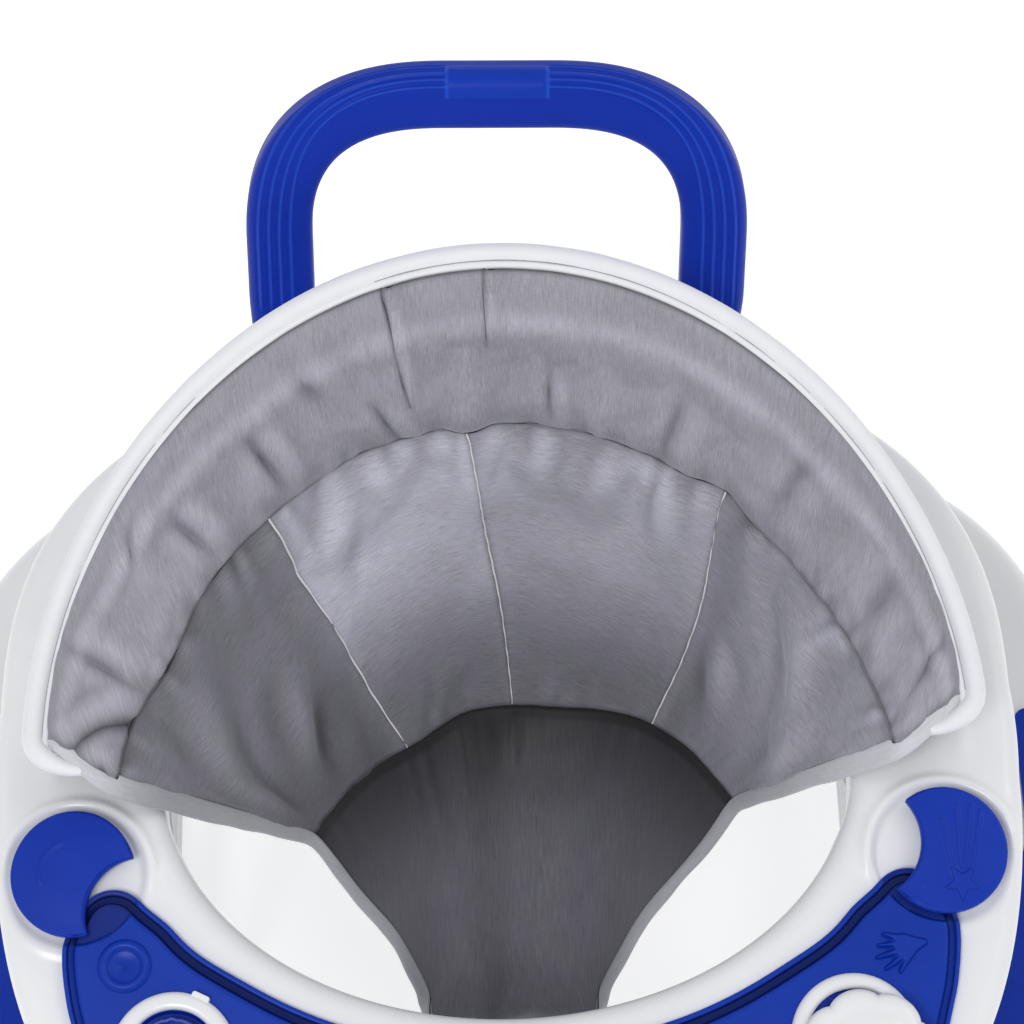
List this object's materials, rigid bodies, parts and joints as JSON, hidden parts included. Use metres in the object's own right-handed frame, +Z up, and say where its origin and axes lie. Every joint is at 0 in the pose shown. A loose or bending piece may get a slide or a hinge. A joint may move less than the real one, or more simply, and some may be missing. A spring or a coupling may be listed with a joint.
{
  "type": "baby walker",
  "caption": "Folding baby walker: wheeled base ring, scissor frame, play tray with slung fabric seat, backrest ring and push handle.",
  "frame": {"origin": "on the floor under the middle of the base ring", "axes": "+X to the right seen from the front, +Y towards the push handle, +Z up"},
  "size_m": [0.68, 0.66, 0.587],
  "materials": {
    "white_plastic": "glossy moulded",
    "blue_plastic": "satin moulded",
    "frame_plastic": "fine matt moulded",
    "pad_rubber": "matt",
    "steel": "zinc plated",
    "seat_fabric": "shot satin weave",
    "rim_tape": "satin tape",
    "caster_plastic": "matt moulded",
    "wheel_rubber": "matt"
  },
  "bodies": {
    "base": {"base_cover": "white_plastic", "base_trim_left": "blue_plastic", "base_trim_right": "blue_plastic", "anti_roll_pads": "pad_rubber", "caster_sockets": "frame_plastic", "base_rail_left": "frame_plastic", "base_rail_right": "frame_plastic", "base_pivot_pins": "steel", "base_screws": "steel"},
    "frame_a_left": {"arm_a_left": "frame_plastic", "arm_a_pins_left": "steel"},
    "frame_a_right": {"arm_a_right": "frame_plastic", "arm_a_pins_right": "steel"},
    "frame_b_left": {"arm_b_left": "frame_plastic", "arm_b_pins_left": "steel"},
    "frame_b_right": {"arm_b_right": "frame_plastic", "arm_b_pins_right": "steel"},
    "tray": {"tray_top": "white_plastic", "tray_underside": "frame_plastic", "tray_rail_left": "frame_plastic", "tray_rail_right": "frame_plastic", "tray_pivot_pins": "steel", "seat_ring": "white_plastic", "push_handle": "blue_plastic", "console": "blue_plastic", "toy_bezels": "white_plastic", "music_box": "blue_plastic", "battery_door": "frame_plastic", "seat_band": "seat_fabric", "seat_panels": "seat_fabric", "seat_sling": "seat_fabric", "rim_trim": "rim_tape"},
    "lock_left": {"lock_disc_left": "blue_plastic"},
    "lock_right": {"lock_disc_right": "blue_plastic"},
    "roller": {"roller_ball": "blue_plastic"},
    "flower": {"flower_knob": "white_plastic"},
    "key_left": {"melody_button_left": "blue_plastic"},
    "key_middle": {"melody_button_middle": "white_plastic"},
    "key_right": {"melody_button_right": "blue_plastic"},
    "snap_left": {"handle_button_left": "frame_plastic"},
    "snap_right": {"handle_button_right": "frame_plastic"},
    "latch": {"height_latch": "blue_plastic"},
    "fork_front_left": {"caster_fork_front_left": "caster_plastic", "caster_axle_front_left": "steel"},
    "wheel_front_left": {"caster_wheel_front_left": "wheel_rubber"},
    "fork_front_right": {"caster_fork_front_right": "caster_plastic", "caster_axle_front_right": "steel"},
    "wheel_front_right": {"caster_wheel_front_right": "wheel_rubber"},
    "fork_middle_left": {"caster_fork_middle_left": "caster_plastic", "caster_axle_middle_left": "steel"},
    "wheel_middle_left": {"caster_wheel_middle_left": "wheel_rubber"},
    "fork_middle_right": {"caster_fork_middle_right": "caster_plastic", "caster_axle_middle_right": "steel"},
    "wheel_middle_right": {"caster_wheel_middle_right": "wheel_rubber"},
    "fork_rear_left": {"caster_fork_rear_left": "caster_plastic", "caster_axle_rear_left": "steel"},
    "wheel_rear_left": {"caster_wheel_rear_left": "wheel_rubber"},
    "fork_rear_right": {"caster_fork_rear_right": "caster_plastic", "caster_axle_rear_right": "steel"},
    "wheel_rear_right": {"caster_wheel_rear_right": "wheel_rubber"}
  },
  "joints": [
    {"name": "tray_fold", "type": "hinge", "parent": "base", "child": "frame_a_left", "pos_m": [-0.182, 0.155, 0.075], "axis": [-1, 0, 0], "range_deg": [-40, 10]},
    {"name": "scissor_left", "type": "hinge", "parent": "frame_a_left", "child": "frame_b_left", "pos_m": [-0.191, 0.05432, 0.23613], "axis": [-1, 0, 0], "range_deg": [-20, 80]},
    {"name": "tray_level", "type": "hinge", "parent": "frame_b_left", "child": "tray", "pos_m": [-0.191, 0.13168, 0.35994], "axis": [-1, 0, 0], "range_deg": [-40, 10]},
    {"name": "frame_right", "type": "hinge", "parent": "base", "child": "frame_a_right", "pos_m": [0.182, 0.155, 0.075], "axis": [-1, 0, 0], "range_deg": [-40, 10]},
    {"name": "scissor_right", "type": "hinge", "parent": "frame_a_right", "child": "frame_b_right", "pos_m": [0.191, 0.05432, 0.23613], "axis": [-1, 0, 0], "range_deg": [-20, 80]},
    {"name": "swivel_front_left", "type": "hinge", "parent": "base", "child": "fork_front_left", "pos_m": [-0.246, -0.254, 0.05], "axis": [0, 0, 1], "continuous": true},
    {"name": "roll_front_left", "type": "hinge", "parent": "fork_front_left", "child": "wheel_front_left", "pos_m": [-0.246, -0.242, 0.021], "axis": [1, 0, 0], "continuous": true},
    {"name": "swivel_front_right", "type": "hinge", "parent": "base", "child": "fork_front_right", "pos_m": [0.246, -0.254, 0.05], "axis": [0, 0, 1], "continuous": true},
    {"name": "roll_front_right", "type": "hinge", "parent": "fork_front_right", "child": "wheel_front_right", "pos_m": [0.246, -0.242, 0.021], "axis": [1, 0, 0], "continuous": true},
    {"name": "swivel_middle_left", "type": "hinge", "parent": "base", "child": "fork_middle_left", "pos_m": [-0.276, 0, 0.05], "axis": [0, 0, 1], "continuous": true},
    {"name": "roll_middle_left", "type": "hinge", "parent": "fork_middle_left", "child": "wheel_middle_left", "pos_m": [-0.276, 0.012, 0.021], "axis": [1, 0, 0], "continuous": true},
    {"name": "swivel_middle_right", "type": "hinge", "parent": "base", "child": "fork_middle_right", "pos_m": [0.276, 0, 0.05], "axis": [0, 0, 1], "continuous": true},
    {"name": "roll_middle_right", "type": "hinge", "parent": "fork_middle_right", "child": "wheel_middle_right", "pos_m": [0.276, 0.012, 0.021], "axis": [1, 0, 0], "continuous": true},
    {"name": "swivel_rear_left", "type": "hinge", "parent": "base", "child": "fork_rear_left", "pos_m": [-0.246, 0.254, 0.05], "axis": [0, 0, 1], "continuous": true},
    {"name": "roll_rear_left", "type": "hinge", "parent": "fork_rear_left", "child": "wheel_rear_left", "pos_m": [-0.246, 0.266, 0.021], "axis": [1, 0, 0], "continuous": true},
    {"name": "swivel_rear_right", "type": "hinge", "parent": "base", "child": "fork_rear_right", "pos_m": [0.246, 0.254, 0.05], "axis": [0, 0, 1], "continuous": true},
    {"name": "roll_rear_right", "type": "hinge", "parent": "fork_rear_right", "child": "wheel_rear_right", "pos_m": [0.246, 0.266, 0.021], "axis": [1, 0, 0], "continuous": true},
    {"name": "lock_turn_left", "type": "hinge", "parent": "tray", "child": "lock_left", "pos_m": [-0.209, -0.07101, 0.40414], "axis": [0, -0.2079, 0.9781], "range_deg": [0, 120]},
    {"name": "lock_turn_right", "type": "hinge", "parent": "tray", "child": "lock_right", "pos_m": [0.209, -0.07101, 0.40414], "axis": [0, -0.2079, 0.9781], "range_deg": [-120, 0]},
    {"name": "roller_spin", "type": "hinge", "parent": "tray", "child": "roller", "pos_m": [-0.161, -0.15615, 0.38625], "axis": [1, 0, 0], "continuous": true},
    {"name": "flower_spin", "type": "hinge", "parent": "tray", "child": "flower", "pos_m": [0.166, -0.16889, 0.38845], "axis": [0, -0.2079, 0.9781], "continuous": true},
    {"name": "key_press_left", "type": "slide", "parent": "tray", "child": "key_left", "axis": [0, 0.2079, -0.9781], "range_m": [0, 0.003], "stiffness_N_per_m": 300},
    {"name": "key_press_middle", "type": "slide", "parent": "tray", "child": "key_middle", "axis": [0, 0.2079, -0.9781], "range_m": [0, 0.003], "stiffness_N_per_m": 300},
    {"name": "key_press_right", "type": "slide", "parent": "tray", "child": "key_right", "axis": [0, 0.2079, -0.9781], "range_m": [0, 0.003], "stiffness_N_per_m": 300},
    {"name": "snap_press_left", "type": "slide", "parent": "tray", "child": "snap_left", "axis": [1, 0, 0], "range_m": [0, 0.004], "stiffness_N_per_m": 500},
    {"name": "snap_press_right", "type": "slide", "parent": "tray", "child": "snap_right", "axis": [-1, 0, 0], "range_m": [0, 0.004], "stiffness_N_per_m": 500},
    {"name": "latch_squeeze", "type": "hinge", "parent": "tray", "child": "latch", "pos_m": [0, -0.19381, 0.33254], "axis": [1, 0, 0], "range_deg": [-6, 0], "stiffness_Nm_per_rad": 0.3}
  ],
  "couplings": [
    {"joint": "scissor_left", "follows": "tray_fold", "ratio": -2},
    {"joint": "tray_level", "follows": "tray_fold", "ratio": 1},
    {"joint": "frame_right", "follows": "tray_fold", "ratio": 1},
    {"joint": "scissor_right", "follows": "tray_fold", "ratio": -2}
  ]
}
